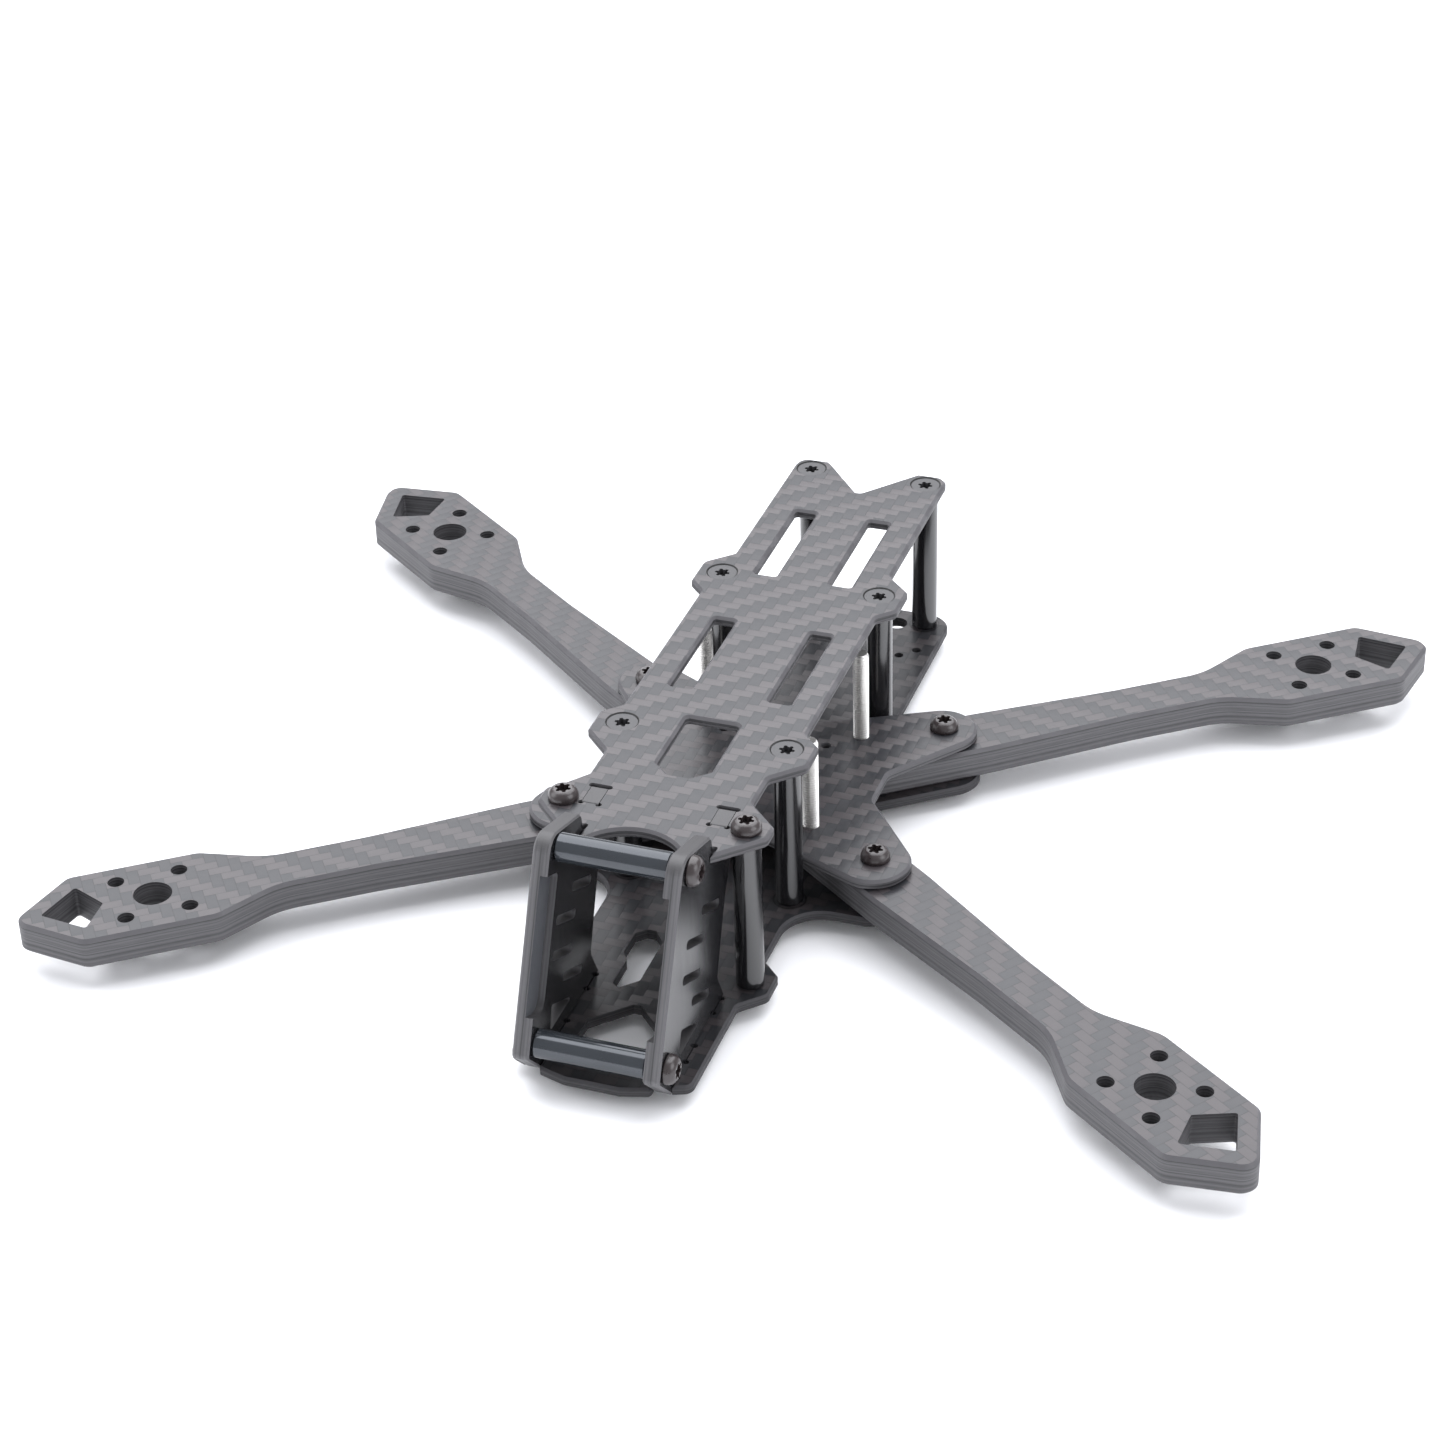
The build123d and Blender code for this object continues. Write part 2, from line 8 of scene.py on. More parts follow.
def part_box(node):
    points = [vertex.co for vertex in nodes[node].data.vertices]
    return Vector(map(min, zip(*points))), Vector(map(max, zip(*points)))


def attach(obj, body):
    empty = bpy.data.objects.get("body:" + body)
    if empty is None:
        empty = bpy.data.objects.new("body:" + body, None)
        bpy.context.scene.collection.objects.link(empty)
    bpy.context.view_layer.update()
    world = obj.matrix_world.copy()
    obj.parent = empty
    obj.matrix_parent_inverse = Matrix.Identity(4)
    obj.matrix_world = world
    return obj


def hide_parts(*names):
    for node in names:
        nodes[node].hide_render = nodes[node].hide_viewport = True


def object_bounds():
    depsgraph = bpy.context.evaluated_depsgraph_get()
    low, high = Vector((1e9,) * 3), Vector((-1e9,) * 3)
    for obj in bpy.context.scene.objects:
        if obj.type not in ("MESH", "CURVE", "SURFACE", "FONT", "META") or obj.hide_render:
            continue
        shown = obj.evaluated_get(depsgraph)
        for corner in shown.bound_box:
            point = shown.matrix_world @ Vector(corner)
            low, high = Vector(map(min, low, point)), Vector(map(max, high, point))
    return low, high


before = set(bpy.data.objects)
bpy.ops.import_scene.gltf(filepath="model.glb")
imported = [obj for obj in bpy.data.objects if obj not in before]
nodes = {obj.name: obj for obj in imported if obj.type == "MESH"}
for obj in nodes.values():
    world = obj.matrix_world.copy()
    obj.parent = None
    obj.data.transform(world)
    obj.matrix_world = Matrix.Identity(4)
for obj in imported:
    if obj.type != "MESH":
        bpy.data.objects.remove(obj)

# Looks of a carbon-fibre quadcopter airframe. Metres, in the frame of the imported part:
# +X to the right, +Y to the tail, +Z up, and z = 0 on the mid plate's top face.

cad_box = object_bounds()
scene = bpy.context.scene
MM = 0.001


# --- Camera -------------------------------------------------------------------

CAMERA_PLACE = (0.17246, -0.48847, 0.34519)
CAMERA_LOOKS = Vector((-0.28892, 0.78796, -0.54373))
CAMERA_UP = Vector((-0.15791, 0.52094, 0.83885))
FOCAL_LENGTH = 84.08  # in millimetres, on a square sensor
SENSOR_WIDTH = 36.0  # in millimetres
NEAREST = 0.01
FARTHEST = 50.0


def add_camera():
    """The photo's view."""
    camera = bpy.data.objects.new("camera", bpy.data.cameras.new("camera"))
    scene.collection.objects.link(camera)
    across = CAMERA_LOOKS.cross(CAMERA_UP).normalized()
    upward = across.cross(CAMERA_LOOKS).normalized()
    turn = Matrix((across, upward, -CAMERA_LOOKS.normalized())).transposed()
    camera.matrix_world = Matrix.Translation(CAMERA_PLACE) @ turn.to_4x4()
    camera.data.lens = FOCAL_LENGTH
    camera.data.sensor_width = SENSOR_WIDTH
    camera.data.clip_start = NEAREST
    camera.data.clip_end = FARTHEST
    scene.camera = camera


# --- Building materials -------------------------------------------------------

# The Mix node has sockets of its own for each kind of value: those of low, high and the result.
MIX_SOCKETS = {"FLOAT": (2, 3, 0), "RGBA": (6, 7, 2)}
NOISE_ROUGHNESS = 0.55


class Material:
    """One procedural material, with short calls for its nodes."""

    def __init__(self, name):
        self.material = bpy.data.materials.new(name)
        self.material.use_nodes = True
        self.tree = self.material.node_tree
        self.shader = self.tree.nodes["Principled BSDF"]

    def put(self, socket, value):
        """Links another node's output to a socket, or sets a plain value."""
        if isinstance(value, bpy.types.NodeSocket):
            self.tree.links.new(value, socket)
        else:
            socket.default_value = value

    def set(self, name, value):
        """Sets a socket of the shader, by a value or by another node's output."""
        self.put(self.shader.inputs[name], value)

    def math(self, operation, *values):
        node = self.tree.nodes.new("ShaderNodeMath")
        node.operation = operation
        for socket, value in zip(node.inputs, values):
            self.put(socket, value)
        return node.outputs[0]

    def plus(self, a, b):
        return self.math("ADD", a, b)

    def minus(self, a, b):
        return self.math("SUBTRACT", a, b)

    def times(self, a, b):
        return self.math("MULTIPLY", a, b)

    def size_of(self, number):
        return self.math("ABSOLUTE", number)

    def mix(self, kind, factor, low, high):
        node = self.tree.nodes.new("ShaderNodeMix")
        node.data_type = kind
        low_socket, high_socket, result = MIX_SOCKETS[kind]
        self.put(node.inputs["Factor"], factor)
        self.put(node.inputs[low_socket], low)
        self.put(node.inputs[high_socket], high)
        return node.outputs[result]

    def between(self, factor, low, high):
        """A number that goes from low to high as factor goes from 0 to 1."""
        return self.mix("FLOAT", factor, low, high)

    def colour(self, factor, low, high):
        """A colour that goes from low to high as factor goes from 0 to 1."""
        return self.mix("RGBA", factor, low, high)

    def place(self):
        """The point in the part's own frame."""
        return self.tree.nodes.new("ShaderNodeTexCoord").outputs["Object"]

    def facing(self):
        """The direction that the surface faces."""
        return self.tree.nodes.new("ShaderNodeNewGeometry").outputs["True Normal"]

    def turned(self, vector, angle):
        """A vector turned about Z, so that its X is along an angle in degrees."""
        node = self.tree.nodes.new("ShaderNodeVectorRotate")
        node.rotation_type = "Z_AXIS"
        self.put(node.inputs["Vector"], vector)
        self.put(node.inputs["Angle"], radians(-angle))
        return node.outputs[0]

    def parts(self, vector):
        """The x, y and z of a vector."""
        node = self.tree.nodes.new("ShaderNodeSeparateXYZ")
        self.put(node.inputs[0], vector)
        return list(node.outputs)

    def vector(self, x, y, z):
        node = self.tree.nodes.new("ShaderNodeCombineXYZ")
        for socket, value in zip(node.inputs, (x, y, z)):
            self.put(socket, value)
        return node.outputs[0]

    def distance(self, vector, point):
        node = self.tree.nodes.new("ShaderNodeVectorMath")
        node.operation = "DISTANCE"
        self.put(node.inputs[0], vector)
        self.put(node.inputs[1], point)
        return node.outputs["Value"]

    def noise(self, vector, scale, detail=3.0):
        node = self.tree.nodes.new("ShaderNodeTexNoise")
        self.put(node.inputs["Vector"], vector)
        self.put(node.inputs["Scale"], scale)
        self.put(node.inputs["Detail"], detail)
        self.put(node.inputs["Roughness"], NOISE_ROUGHNESS)
        return node.outputs[0]

    def ramp(self, value, low, high):
        """0 below low, 1 above high, and smooth between them."""
        node = self.tree.nodes.new("ShaderNodeMapRange")
        node.interpolation_type = "SMOOTHSTEP"
        self.put(node.inputs["Value"], value)
        self.put(node.inputs["From Min"], low)
        self.put(node.inputs["From Max"], high)
        return node.outputs[0]

    def bump(self, height, distance, under=None):
        """A bumped normal, on top of another one if under is given."""
        node = self.tree.nodes.new("ShaderNodeBump")
        self.put(node.inputs["Height"], height)
        self.put(node.inputs["Distance"], distance)
        self.put(node.inputs["Strength"], 1.0)
        if under is not None:
            self.put(node.inputs["Normal"], under)
        return node.outputs[0]


# --- Cut edges of the carbon sheets -------------------------------------------

PLY = 0.22 * MM  # thickness of one layer of cloth
EDGE_DARK = (0.020, 0.020, 0.022, 1)
EDGE_LIGHT = (0.108, 0.106, 0.112, 1)
CHAMFER_COLOUR = (0.074, 0.072, 0.078, 1)
EDGE_RELIEF = 0.03 * MM

# What makes up an edge's tone. Scales are per metre.
LAYER_SHARE = 0.55
LAYER_STEP = 7.31  # so far apart in the noise, each layer has its own tone
LAYER_WANDER = 0.4  # in layers
WANDER_SCALE = 90.0
BAND_SHARE = 0.75
BAND_SCALE = 1100.0
SCRATCH_SHARE = 0.30
SCRATCH_SCALE = 260.0
SCRATCH_FINENESS = 40.0  # across the layers, as a multiple of that along them
GLUE_SHARE = 0.25
EDGE_TONES = (0.45, 1.05)  # the tones of the dark and of the light colour

# Levels of the dark glue lines, where thinner sheets are pressed into one.
CORE_PITCH = 8.0 * MM  # the plates' middles lie this far apart, or a multiple of it
PLATE_GLUE = (-1.0 * MM,)
ARM_GLUE = (-2.75 * MM, -5.0 * MM)
SIDE_GLUE = (11.5 * MM,)
GLUE_FADE = (0.05 * MM, 0.18 * MM)  # from a glue line's middle, where it starts and stops to fade

# Where a change starts and ends, as the surface turns from a cut edge at 0 to the cloth at 1.
CHAMFER_TURN = (0.45, 0.65)
CLOTH_TURN = (0.86, 0.96)


def cut_edge(paint, place, u, v, depth, glue_levels):
    """The colour and the height of a cut edge, where the layers show as fine lines. A glue line
    is dark; it lies at each of the levels, and at whole pitches from them."""
    off_glue = 1.0
    for level in glue_levels:
        away = paint.math("FLOORED_MODULO", paint.plus(depth, CORE_PITCH / 2 - level), CORE_PITCH)
        away = paint.size_of(paint.minus(away, CORE_PITCH / 2))
        off_glue = paint.times(off_glue, paint.ramp(away, *GLUE_FADE))
    wander = paint.times(paint.noise(place, WANDER_SCALE), LAYER_WANDER)
    layer = paint.math("FLOOR", paint.plus(paint.math("DIVIDE", depth, PLY), wander))
    layer_tone = paint.noise(paint.vector(layer, 0.0, 0.0), LAYER_STEP, detail=0.0)
    band = paint.noise(paint.vector(0.0, 0.0, depth), BAND_SCALE, detail=1.0)
    scratched = paint.vector(u, v, paint.times(depth, SCRATCH_FINENESS))
    scratch = paint.noise(scratched, SCRATCH_SCALE)
    tone = paint.plus(paint.times(layer_tone, LAYER_SHARE), paint.times(band, BAND_SHARE))
    tone = paint.plus(tone, paint.times(scratch, SCRATCH_SHARE))
    tone = paint.minus(tone, paint.times(paint.minus(1.0, off_glue), GLUE_SHARE))
    return paint.colour(paint.ramp(tone, *EDGE_TONES), EDGE_DARK, EDGE_LIGHT), tone


# --- Woven plates and arms ----------------------------------------------------

TOW = 2.0 * MM  # width of one tow in the cloth
FLOAT_TOWS = 2  # each tow goes over this many, and then under as many
REPEAT = 2 * FLOAT_TOWS

FLOAT_SHEENED = (0.053, 0.046, 0.049, 1)  # the tows that run along u, on top, with a painted sheen
FLOAT_SHADED = (0.025, 0.027, 0.031, 1)  # the tows that run along v, with painted shade
# painted shade in the creases between the tows
CREASE_SHADE_COLOUR = (0.010, 0.010, 0.012, 1)
CLOTH_ROUGHNESS = 0.29
CLOTH_IOR = 1.52
CLOTH_RELIEF = 0.040 * MM
EDGE_ROUGHNESS = 0.55
PLATE_ANISOTROPY = 0.62
ARM_ANISOTROPY = 0.38
ARM_ANGLE = 36.6  # of each arm from the X axis, in degrees
BASE_SHADE = 0.6  # the bottom plate gets painted shade: this share of its colour is kept

# What makes up a tow's tone, from 0 for the shaded colour to 1 for the sheened one. The tows along u
# get painted sheen and those along v painted shade; each tow and its fibres also vary at random.
U_SHEEN_TONE = 0.90
V_SHADE_DROP = 0.75
FIBRE_SHARE = 0.30
TOW_SHARE = 0.30
TOW_STEP = 0.73  # so far apart in the noise, each tow has its own tone
# painted shade towards each float's ends, where the tow dips under
END_SHADE_SHARE = 0.12
STREAKS_ACROSS = 16.0  # in a tow's width
STREAKS_ALONG = 1.2

# How far painted shade in the creases reaches into a tow from its ends and sides, as shares of its
# bulge.
END_SHADE_REACH = 0.12
SIDE_SHADE_REACH = 0.22
SIDE_SHADE_DARKNESS = 0.85

FIBRE_ROUGHNESS = 0.10
IOR_POWER = 0.25  # of the shade, so that a sheet with painted shade is less glossy too

# Shares of the relief.
ARCH_RELIEF = 0.6
RIDGE_RELIEF = 0.4
FIBRE_RELIEF = 0.10

# Near-black of the painted shade: in the ring round each countersunk head, and on a shaded sheet
PAINTED_SHADE_COLOUR = (0.004, 0.004, 0.004, 1)
SHADE_RING_R = 2.9 * MM  # of the ring of painted shade in the gap around each countersunk head
SHADE_RING_HALF = 0.14 * MM  # half its width
# Where the top plate's countersunk screws on the right are, seen from above.
COUNTERSINKS = [(11.7 * MM, 69.5 * MM, 0.0), (15.4 * MM, 26.3 * MM, 0.0), (15.2 * MM, -27.7 * MM, 0.0)]


def bulge(paint, share):
    """1 in the middle of a tow and 0 at its two ends or sides."""
    return paint.times(paint.times(share, paint.minus(1.0, share)), 4.0)


def twill(paint, u, v):
    """A cloth where each tow goes over two and under two. Gives 1 where a tow along v is on top,
    the tow's bulge along and across itself, its fibres' streaks, and a tone of its own."""
    in_tows_u = paint.math("DIVIDE", u, TOW)
    in_tows_v = paint.math("DIVIDE", v, TOW)
    column = paint.math("FLOOR", in_tows_u)
    row = paint.math("FLOOR", in_tows_v)
    step = paint.math("FLOORED_MODULO", paint.plus(column, row), REPEAT)
    v_on_top = paint.math("LESS_THAN", step, FLOAT_TOWS - 0.5)

    along_v = paint.math("FLOORED_MODULO", paint.plus(in_tows_v, column), REPEAT)
    along_u = paint.math("FLOORED_MODULO", paint.plus(in_tows_u, row), REPEAT)
    along = paint.between(v_on_top, paint.minus(along_u, FLOAT_TOWS), along_v)
    across = paint.between(v_on_top, paint.math("FRACT", in_tows_v), paint.math("FRACT", in_tows_u))
    arch = bulge(paint, paint.times(along, 1 / FLOAT_TOWS))
    ridge = bulge(paint, across)

    streak_u = paint.times(in_tows_u, paint.between(v_on_top, STREAKS_ALONG, STREAKS_ACROSS))
    streak_v = paint.times(in_tows_v, paint.between(v_on_top, STREAKS_ACROSS, STREAKS_ALONG))
    fibre = paint.noise(paint.vector(streak_u, streak_v, v_on_top), 1.0, detail=2.0)
    tow_tone = paint.noise(paint.vector(column, row, 0.0), TOW_STEP, detail=0.0)
    return v_on_top, arch, ridge, fibre, tow_tone


def carbon(name, along, slant, glue_levels, anisotropy, shade=1.0):
    """Twill-woven carbon fibre in level sheets, with cut edges, and painted sheen and shade on the
    weave. along is the direction of u, in degrees from X, and slant is 1 or -1 for the way that the
    twill's steps run. anisotropy is how far the gloss differs along and across a fibre, which sets
    the two ways of the weave apart in tone. shade is under 1 for a sheet with painted shade all
    over: its colour is mixed by 1 - shade towards near-black."""
    paint = Material(name)
    place = paint.place()
    u, v, depth = paint.parts(paint.turned(place, along))
    v = paint.times(v, slant)
    v_on_top, arch, ridge, fibre, tow_tone = twill(paint, u, v)

    # Painted sheen on the tows along u and painted shade on those along v, then random tones of tow
    # and fibre.
    tone = paint.minus(U_SHEEN_TONE, paint.times(v_on_top, V_SHADE_DROP))
    tone = paint.plus(tone, paint.times(paint.minus(fibre, 0.5), FIBRE_SHARE))
    tone = paint.plus(tone, paint.times(paint.minus(tow_tone, 0.5), TOW_SHARE))
    # Painted shade towards each float's ends.
    tone = paint.minus(tone, paint.times(paint.minus(1.0, arch), END_SHADE_SHARE))
    cloth = paint.colour(tone, FLOAT_SHADED, FLOAT_SHEENED)
    # Painted shade in the creases at each float's ends and sides.
    cloth = paint.colour(paint.ramp(arch, 0.0, END_SHADE_REACH), CREASE_SHADE_COLOUR, cloth)
    side_shade = paint.between(paint.ramp(ridge, 0.0, SIDE_SHADE_REACH), SIDE_SHADE_DARKNESS, 0.0)
    cloth = paint.colour(side_shade, cloth, CREASE_SHADE_COLOUR)

    turn = paint.size_of(paint.parts(paint.facing())[2])
    on_cloth = paint.ramp(turn, *CLOTH_TURN)
    edge, edge_height = cut_edge(paint, place, u, v, depth, glue_levels)
    edge = paint.colour(paint.ramp(turn, *CHAMFER_TURN), edge, CHAMFER_COLOUR)

    # The left half mirrors the right, so one set of countersinks does for both.
    x, y, z = paint.parts(place)
    here = paint.vector(paint.size_of(x), y, 0.0)
    # Painted shade: a thin ring in the gap round each head, and its countersink's cut faces in
    # near-black. On the bottom plate the same rings lie round the spacers' feet as painted contact
    # shade.
    for countersink in COUNTERSINKS:
        away = paint.distance(here, countersink)
        cloth = paint.colour(paint.math("COMPARE", away, SHADE_RING_R, SHADE_RING_HALF), cloth, PAINTED_SHADE_COLOUR)
        edge = paint.colour(paint.math("LESS_THAN", away, SHADE_RING_R + SHADE_RING_HALF), edge, PAINTED_SHADE_COLOUR)
    surface = paint.colour(on_cloth, edge, cloth)
    # Where shade is under 1, the whole sheet gets painted shade.
    paint.set("Base Color", paint.colour(shade, PAINTED_SHADE_COLOUR, surface))

    cloth_rough = paint.plus(CLOTH_ROUGHNESS, paint.times(fibre, FIBRE_ROUGHNESS))
    paint.set("Roughness", paint.between(on_cloth, EDGE_ROUGHNESS, cloth_rough))
    paint.set("IOR", CLOTH_IOR * shade**IOR_POWER)
    paint.set("Anisotropic", anisotropy)
    u_way = (cos(radians(along)), sin(radians(along)), 0.0)
    v_way = (-u_way[1], u_way[0], 0.0)
    fibre_way = [paint.between(v_on_top, a, b) for a, b in zip(u_way, v_way)]
    paint.set("Tangent", paint.vector(*fibre_way))

    swell = paint.times(arch, paint.plus(ARCH_RELIEF, paint.times(ridge, RIDGE_RELIEF)))
    relief = paint.plus(swell, paint.times(fibre, FIBRE_RELIEF))
    woven = paint.bump(paint.times(relief, on_cloth), CLOTH_RELIEF)
    cut = paint.times(edge_height, paint.minus(1.0, on_cloth))
    paint.set("Normal", paint.bump(cut, EDGE_RELIEF, under=woven))
    return paint.material


# --- Camera side plates -------------------------------------------------------

SIDE_DARK = (0.009, 0.009, 0.010, 1)
SIDE_LIGHT = (0.018, 0.018, 0.020, 1)
SIDE_IOR = 1.65
SIDE_EDGE_ROUGHNESS = 0.5
TOP_EDGE_PAINTED_SHADE = (0.034, 0.033, 0.035, 1)  # painted shade on cut edges that face up, such as the tabs' ends
RECESS_COLOUR = (0.075, 0.079, 0.088, 1)
RECESS_DEPTHS = (10.3 * MM, 12.7 * MM)  # the recess's floor lies between these, from the middle
RECESS_ROUGHNESS = 0.5
SIDE_ROUGHNESS = (0.15, 0.24)
FACING_UP = (0.3, 0.9)  # where the painted shade on top edges starts and ends, by how far they face up
STREAKS_Y = 900.0  # per metre
STREAKS_Z = 60.0


def side_carbon(name):
    """Smooth dark carbon fibre in upright sheets, with a milled recess and cut edges. Cut edges
    that face up get painted shade.
    """
    paint = Material(name)
    place = paint.place()
    x, y, z = paint.parts(place)
    depth = paint.size_of(x)
    streaked = paint.vector(0.0, paint.times(y, STREAKS_Y), paint.times(z, STREAKS_Z))
    streaks = paint.noise(streaked, 1.0)
    past_inner = paint.math("GREATER_THAN", depth, RECESS_DEPTHS[0])
    in_recess = paint.times(past_inner, paint.math("LESS_THAN", depth, RECESS_DEPTHS[1]))
    cloth = paint.colour(streaks, SIDE_DARK, SIDE_LIGHT)
    cloth = paint.colour(in_recess, cloth, RECESS_COLOUR)

    turn = paint.size_of(paint.parts(paint.facing())[0])
    on_cloth = paint.ramp(turn, *CLOTH_TURN)
    facing_up = paint.ramp(paint.parts(paint.facing())[2], *FACING_UP)
    edge, edge_height = cut_edge(paint, place, y, z, depth, SIDE_GLUE)
    edge = paint.colour(paint.ramp(turn, *CHAMFER_TURN), edge, CHAMFER_COLOUR)
    # Painted shade on the cut edges that face up.
    edge = paint.colour(facing_up, edge, TOP_EDGE_PAINTED_SHADE)
    paint.set("Base Color", paint.colour(on_cloth, edge, cloth))

    cloth_rough = paint.between(streaks, *SIDE_ROUGHNESS)
    cloth_rough = paint.between(in_recess, cloth_rough, RECESS_ROUGHNESS)
    paint.set("Roughness", paint.between(on_cloth, SIDE_EDGE_ROUGHNESS, cloth_rough))
    paint.set("IOR", SIDE_IOR)
    cut = paint.times(edge_height, paint.minus(1.0, on_cloth))
    paint.set("Normal", paint.bump(cut, EDGE_RELIEF))
    return paint.material


# --- Metals -------------------------------------------------------------------

# Scales are per metre.
TURNING_LINES = 4000.0  # along the axis of a turned piece
TURNING_DRIFT = 300.0  # around it
TURNING_DEPTH = 0.0008 * MM
CLOUD_SCALE = 140.0
PATCH_SCALE = 700.0
GRAIN_SCALE = 4200.0
GRAIN_DEPTH = 0.002 * MM
UNEVEN_LOW = 0.85
UNEVEN_HIGH = 1.2

STAINLESS_SCALE = 900.0
STAINLESS_DARK = (0.74, 0.73, 0.71, 1)
STAINLESS_LIGHT = (0.82, 0.81, 0.79, 1)
STAINLESS_ROUGHNESS = (0.36, 0.44)


def uneven(paint, factor, value):
    """A number that varies a little about a value."""
    return paint.between(factor, value * UNEVEN_LOW, value * UNEVEN_HIGH)


def anodised(name, base, metallic, ior, roughness, axis):
    """Anodised aluminium with a slight unevenness, and fine lines from turning about an axis."""
    paint = Material(name)
    place = paint.place()
    cloud = paint.noise(place, CLOUD_SCALE, detail=4.0)
    low = [part * UNEVEN_LOW for part in base] + [1]
    high = [part * UNEVEN_HIGH for part in base] + [1]
    paint.set("Base Color", paint.colour(cloud, low, high))
    paint.set("Metallic", metallic)
    paint.set("IOR", ior)
    paint.set("Roughness", uneven(paint, cloud, roughness))
    lines = [TURNING_LINES if letter == axis else TURNING_DRIFT for letter in "xyz"]
    stretched = [paint.times(part, count) for part, count in zip(paint.parts(place), lines)]
    turning = paint.noise(paint.vector(*stretched), 1.0)
    paint.set("Normal", paint.bump(turning, TURNING_DEPTH))
    return paint.material


def plated_steel(name, dark, light, ior, roughness):
    """Steel with a dark finish, slightly uneven."""
    paint = Material(name)
    place = paint.place()
    patch = paint.noise(place, PATCH_SCALE)
    paint.set("Base Color", paint.colour(patch, dark, light))
    paint.set("IOR", ior)
    paint.set("Roughness", uneven(paint, patch, roughness))
    grain = paint.noise(place, GRAIN_SCALE, detail=2.0)
    paint.set("Normal", paint.bump(grain, GRAIN_DEPTH))
    return paint.material


def stainless(name):
    """Bright rolled stainless steel."""
    paint = Material(name)
    cloud = paint.noise(paint.place(), STAINLESS_SCALE, detail=2.0)
    paint.set("Base Color", paint.colour(cloud, STAINLESS_DARK, STAINLESS_LIGHT))
    paint.set("Metallic", 1.0)
    paint.set("Roughness", paint.between(cloud, *STAINLESS_ROUGHNESS))
    return paint.material


# --- Threaded stack screws ----------------------------------------------------

PITCH = 0.5 * MM
THREAD_R = 1.48 * MM
ROOT_R = 1.17 * MM
TURN_STEPS = 28
TURNS_PAST_TOP = 2
# One turn's profile: share of the pitch, and share of the way from root to crest.
THREAD_PROFILE = [(0.0, 0.0), (0.12, 0.0), (0.45, 1.0), (0.67, 1.0)]

# The head's outline, from its flange outwards: distance from the flange and radius, in millimetres.
HEAD_PROFILE = [(0.0, 1.6), (0.0, 2.4), (0.25, 2.65), (0.55, 2.65)]
HEAD_PROFILE += [(1.05, 2.5), (1.5, 2.27), (1.82, 1.93), (2.0, 1.6)]
HEAD_R = max(radius for height, radius in HEAD_PROFILE) * MM
HEAD_H = max(height for height, radius in HEAD_PROFILE) * MM
HEAD_STEPS = 48
TORX_LOBES = 6
TORX_R = 1.2 * MM
TORX_WAVE = 0.2 * MM
TORX_DEPTH = 1.2 * MM
TORX_RIM = 0.12 * MM  # how much wider the recess is at its mouth
TORX_RIM_DEPTH = 0.1 * MM
WELD_DISTANCE = 0.001 * MM
SHARP_ANGLE = 35  # in degrees, between faces that meet in a sharp edge


def new_vertex(bm, centre, radius, angle, height):
    return bm.verts.new((centre.x + radius * cos(angle), centre.y + radius * sin(angle), height))


def ring(bm, centre, radii, height):
    """A closed ring of vertices, one for each radius, at a height."""
    angles = [2 * pi * i / len(radii) for i in range(len(radii))]
    return [new_vertex(bm, centre, radius, angle, height) for radius, angle in zip(radii, angles)]


def join(bm, lower, upper):
    """Faces between two rings with the same number of vertices."""
    for i in range(len(lower)):
        after = (i + 1) % len(lower)
        bm.faces.new((lower[i], lower[after], upper[after], upper[i]))


def thread(bm, centre, bottom, top):
    """A rolled thread as one helical strip, with a chamfered tip and a flat foot. The strip runs
    on past the top, where it lies flat in the tip's rim."""
    turns = int(round((top - bottom) / PITCH)) + TURNS_PAST_TOP
    steps = turns * TURN_STEPS
    lines = []
    for share, rise in THREAD_PROFILE:
        line = []
        for i in range(steps + 1):
            height = bottom + PITCH * (i / TURN_STEPS + share - 1)
            height = min(max(height, bottom), top)
            from_tip = min(1.0, (top - height) / PITCH)
            crest = ROOT_R + (THREAD_R - ROOT_R) * from_tip
            radius = ROOT_R + (crest - ROOT_R) * rise
            line.append(new_vertex(bm, centre, radius, 2 * pi * i / TURN_STEPS, height))
        lines.append(line)
    for lower, upper in zip(lines, lines[1:]):
        for i in range(steps):
            bm.faces.new((lower[i], lower[i + 1], upper[i + 1], upper[i]))
    last = lines[-1]
    next_root = lines[0][TURN_STEPS:]
    for i in range(steps - TURN_STEPS):
        bm.faces.new((last[i], last[i + 1], next_root[i + 1], next_root[i]))
    bm.faces.new(lines[0][-TURN_STEPS:])
    bm.faces.new(lines[0][:TURN_STEPS][::-1])


def pan_head(bm, centre, flange):
    """A pan head that hangs below its flange, with a torx recess of rounded lobes."""
    rings = []
    for height, radius in HEAD_PROFILE:
        rings.append(ring(bm, centre, [radius * MM] * HEAD_STEPS, flange - height * MM))
    angles = [2 * pi * i / HEAD_STEPS for i in range(HEAD_STEPS)]
    recess = [TORX_R + TORX_WAVE * cos(TORX_LOBES * angle) for angle in angles]
    rings.append(ring(bm, centre, [radius + TORX_RIM for radius in recess], flange - HEAD_H))
    rings.append(ring(bm, centre, recess, flange - (HEAD_H - TORX_RIM_DEPTH)))
    rings.append(ring(bm, centre, recess, flange - (HEAD_H - TORX_DEPTH)))
    for lower, upper in zip(rings, rings[1:]):
        join(bm, lower, upper)
    bm.faces.new(rings[-1])
    bm.faces.new(rings[0])


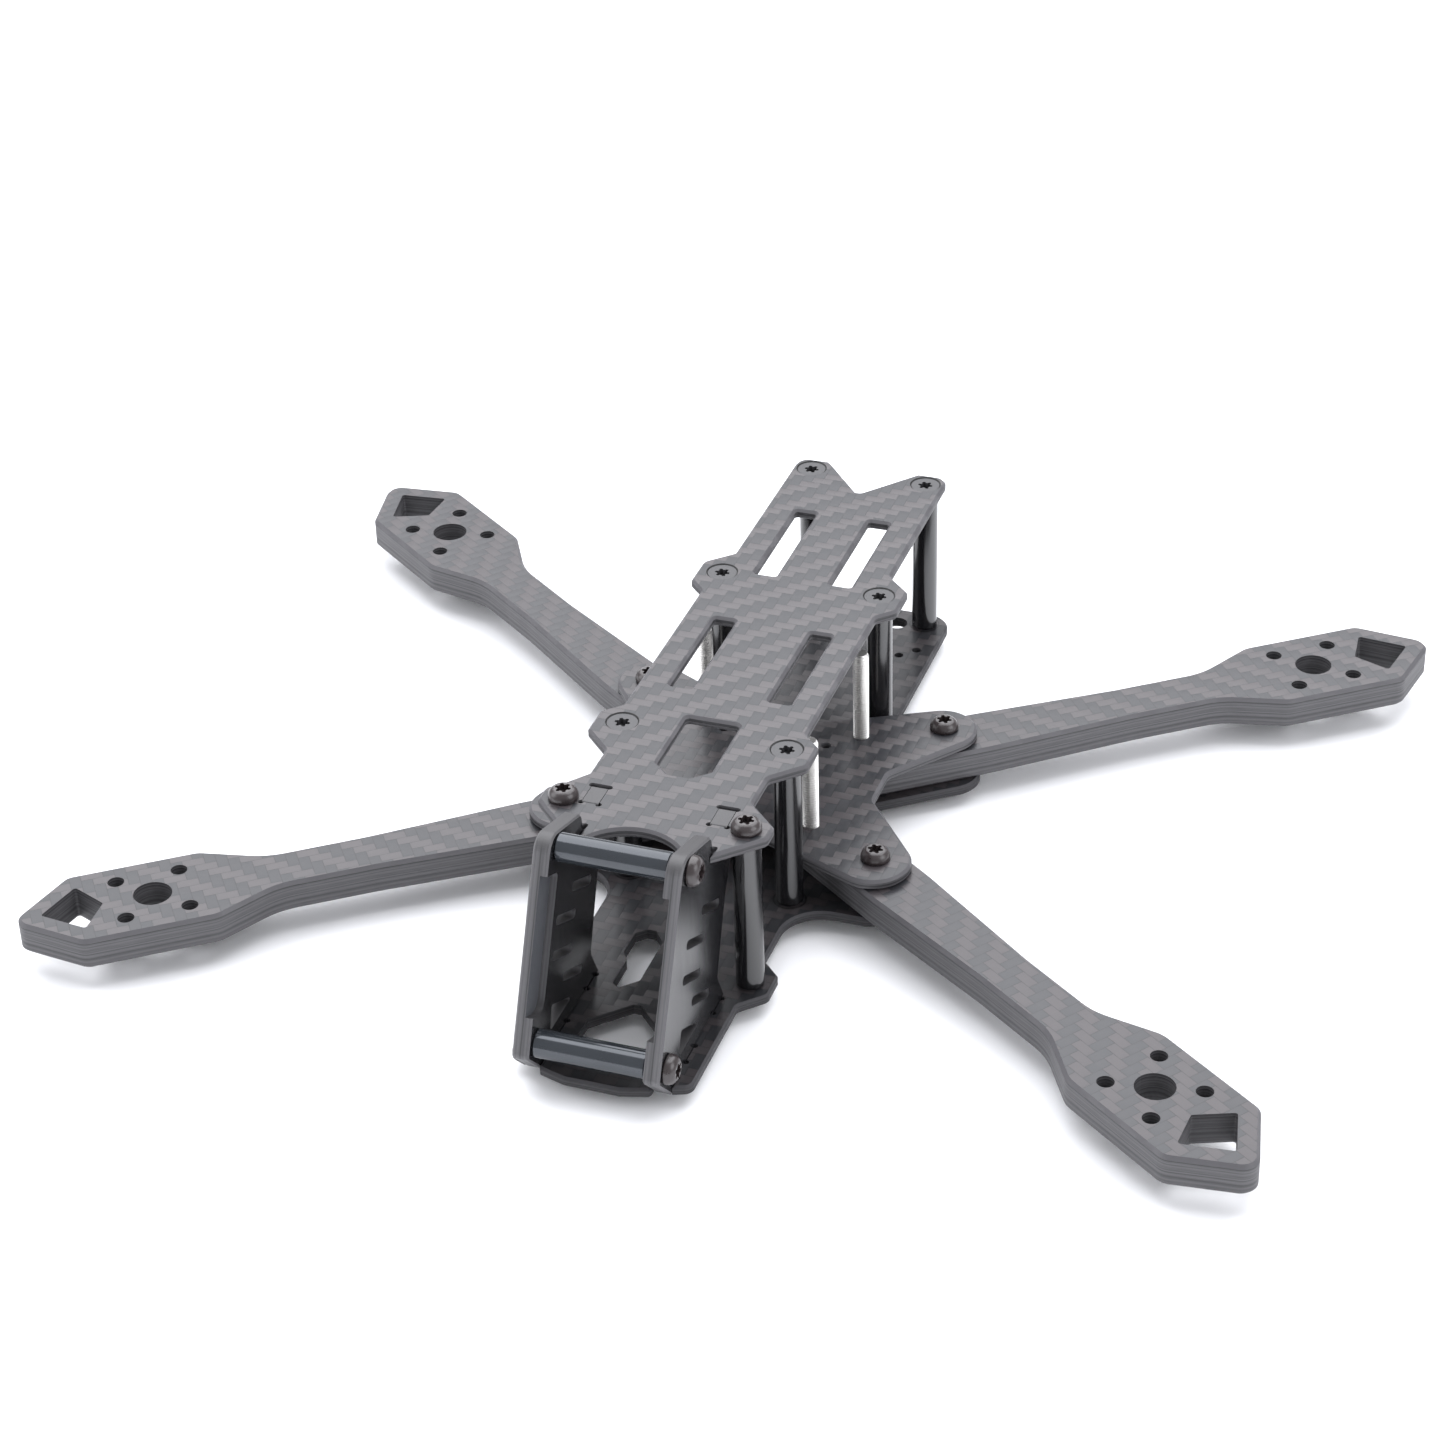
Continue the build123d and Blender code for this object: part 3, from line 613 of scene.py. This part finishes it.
def make_stack_screws():
    """Four long screws with real threads, in place of the plain CAD ones."""
    low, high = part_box("stack_screws")
    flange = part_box("bottom_plate")[0].z
    bm = bmesh.new()
    for x in (low.x + HEAD_R, high.x - HEAD_R):
        for y in (low.y + HEAD_R, high.y - HEAD_R):
            centre = Vector((x, y, 0))
            thread(bm, centre, flange, high.z)
            pan_head(bm, centre, flange)
    bmesh.ops.remove_doubles(bm, verts=bm.verts, dist=WELD_DISTANCE)
    bmesh.ops.recalc_face_normals(bm, faces=bm.faces)
    mesh = bpy.data.meshes.new("stack_screws_threaded")
    bm.to_mesh(mesh)
    bm.free()
    mesh.shade_smooth()
    screws = bpy.data.objects.new("stack_screws_threaded", mesh)
    scene.collection.objects.link(screws)
    mesh.set_sharp_from_angle(angle=radians(SHARP_ANGLE))
    mesh.materials.append(stainless("stainless_steel"))
    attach(screws, "root")
    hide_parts("stack_screws")


# --- Floor and light ----------------------------------------------------------

FLOOR_HALF = 3.0
FLOOR_COLOUR = (0.93, 0.935, 0.945, 1)
FLOOR_ROUGHNESS = (0.85, 0.95)
FLOOR_SCALE = 30.0  # of its unevenness, per metre
LAMP_COLOUR = (0.96, 0.965, 1.0)
WORLD_COLOUR = (0.955, 0.965, 1.0, 1)
WORLD_STRENGTH = 0.6

# Each lamp's name, place, size, watts, and whether glossy surfaces mirror it.
SOFTBOXES = [
    ("soft_top", (-0.2, 0.75, 1.45), (3.0, 2.4), 76.0, True),
    ("soft_left", (-1.5, -0.5, 0.9), (1.2, 1.2), 12.0, True),
    ("soft_right", (1.4, -0.2, 0.8), (1.0, 1.0), 9.0, True),
    ("soft_front", (0.6, -1.5, 0.7), (1.2, 1.0), 5.0, False),
]


def make_floor(height):
    """A plain white sheet under the object."""
    mesh = bpy.data.meshes.new("floor")
    corners = [(-1, -1), (1, -1), (1, 1), (-1, 1)]
    points = [(FLOOR_HALF * x, FLOOR_HALF * y, height) for x, y in corners]
    mesh.from_pydata(points, [], [(0, 1, 2, 3)])
    floor = bpy.data.objects.new("floor", mesh)
    scene.collection.objects.link(floor)
    paint = Material("floor_white")
    paint.set("Base Color", FLOOR_COLOUR)
    unevenness = paint.noise(paint.place(), FLOOR_SCALE)
    paint.set("Roughness", paint.between(unevenness, *FLOOR_ROUGHNESS))
    mesh.materials.append(paint.material)


def add_softbox(name, place, size, power, mirrored):
    """A large soft area light that points at the frame's origin."""
    lamp = bpy.data.lights.new(name, "AREA")
    lamp.shape = "RECTANGLE"
    lamp.size, lamp.size_y = size
    lamp.energy = power
    lamp.color = LAMP_COLOUR
    softbox = bpy.data.objects.new(name, lamp)
    scene.collection.objects.link(softbox)
    softbox.location = place
    softbox.visible_glossy = mirrored
    softbox.rotation_mode = "QUATERNION"
    softbox.rotation_quaternion = (-Vector(place)).to_track_quat("-Z", "Y")


def light_the_room():
    """An even pale light from all round."""
    world = bpy.data.worlds.new("studio")
    world.use_nodes = True
    background = world.node_tree.nodes["Background"]
    background.inputs["Color"].default_value = WORLD_COLOUR
    background.inputs["Strength"].default_value = WORLD_STRENGTH
    scene.world = world


# --- Putting it together ------------------------------------------------------


def dress(material, *names):
    """Gives CAD nodes their material."""
    for name in names:
        for material_slot in nodes[name].material_slots:
            material_slot.material = material


add_camera()

plate_carbon = carbon("plate_carbon", 0.0, -1, PLATE_GLUE, PLATE_ANISOTROPY)
# The bottom plate's carbon is a copy with painted shade.
base_carbon_painted_shade = carbon("base_carbon_painted_shade", 0.0, -1, PLATE_GLUE, PLATE_ANISOTROPY, shade=BASE_SHADE)
arm_carbon_a = carbon("arm_carbon_a", ARM_ANGLE, 1, ARM_GLUE, ARM_ANISOTROPY)
arm_carbon_b = carbon("arm_carbon_b", -ARM_ANGLE, 1, ARM_GLUE, ARM_ANISOTROPY)
dress(plate_carbon, "top_plate", "mid_plate")
dress(base_carbon_painted_shade, "bottom_plate")
dress(arm_carbon_a, "arm_rear_right", "arm_front_left")
dress(arm_carbon_b, "arm_front_right", "arm_rear_left")
dress(side_carbon("side_carbon"), "camera_plate_left", "camera_plate_right")

uprights = [name for name in nodes if name.startswith("standoff_")]
crossings = [name for name in nodes if name.startswith("cross_standoff_")]
black = {"base": (0.006, 0.006, 0.007), "metallic": 0.0, "ior": 1.85, "roughness": 0.15}
slate = {"base": (0.036, 0.042, 0.050), "metallic": 0.45, "ior": 1.8, "roughness": 0.13}
dress(anodised("black_anodised", axis="z", **black), *uprights)
dress(anodised("slate_anodised", axis="x", **slate), *crossings)

sunk_screws = [name for name in nodes if name.endswith("_sunk_screws")]
pale_screws = ["stack_screws", *sunk_screws]
black_screws = [name for name in nodes if name.endswith("_screws") and name not in pale_screws]
black_tones = {"dark": (0.020, 0.015, 0.015, 1), "light": (0.036, 0.027, 0.028, 1)}
grey_tones = {"dark": (0.034, 0.034, 0.036, 1), "light": (0.050, 0.050, 0.054, 1)}
dress(plated_steel("black_steel", ior=1.62, roughness=0.28, **black_tones), *black_screws, "lobe_nuts")
dress(plated_steel("grey_steel", ior=1.55, roughness=0.42, **grey_tones), *sunk_screws)
make_stack_screws()

make_floor(cad_box[0].z)
for softbox in SOFTBOXES:
    add_softbox(*softbox)
light_the_room()
scene.view_settings.view_transform = "Standard"
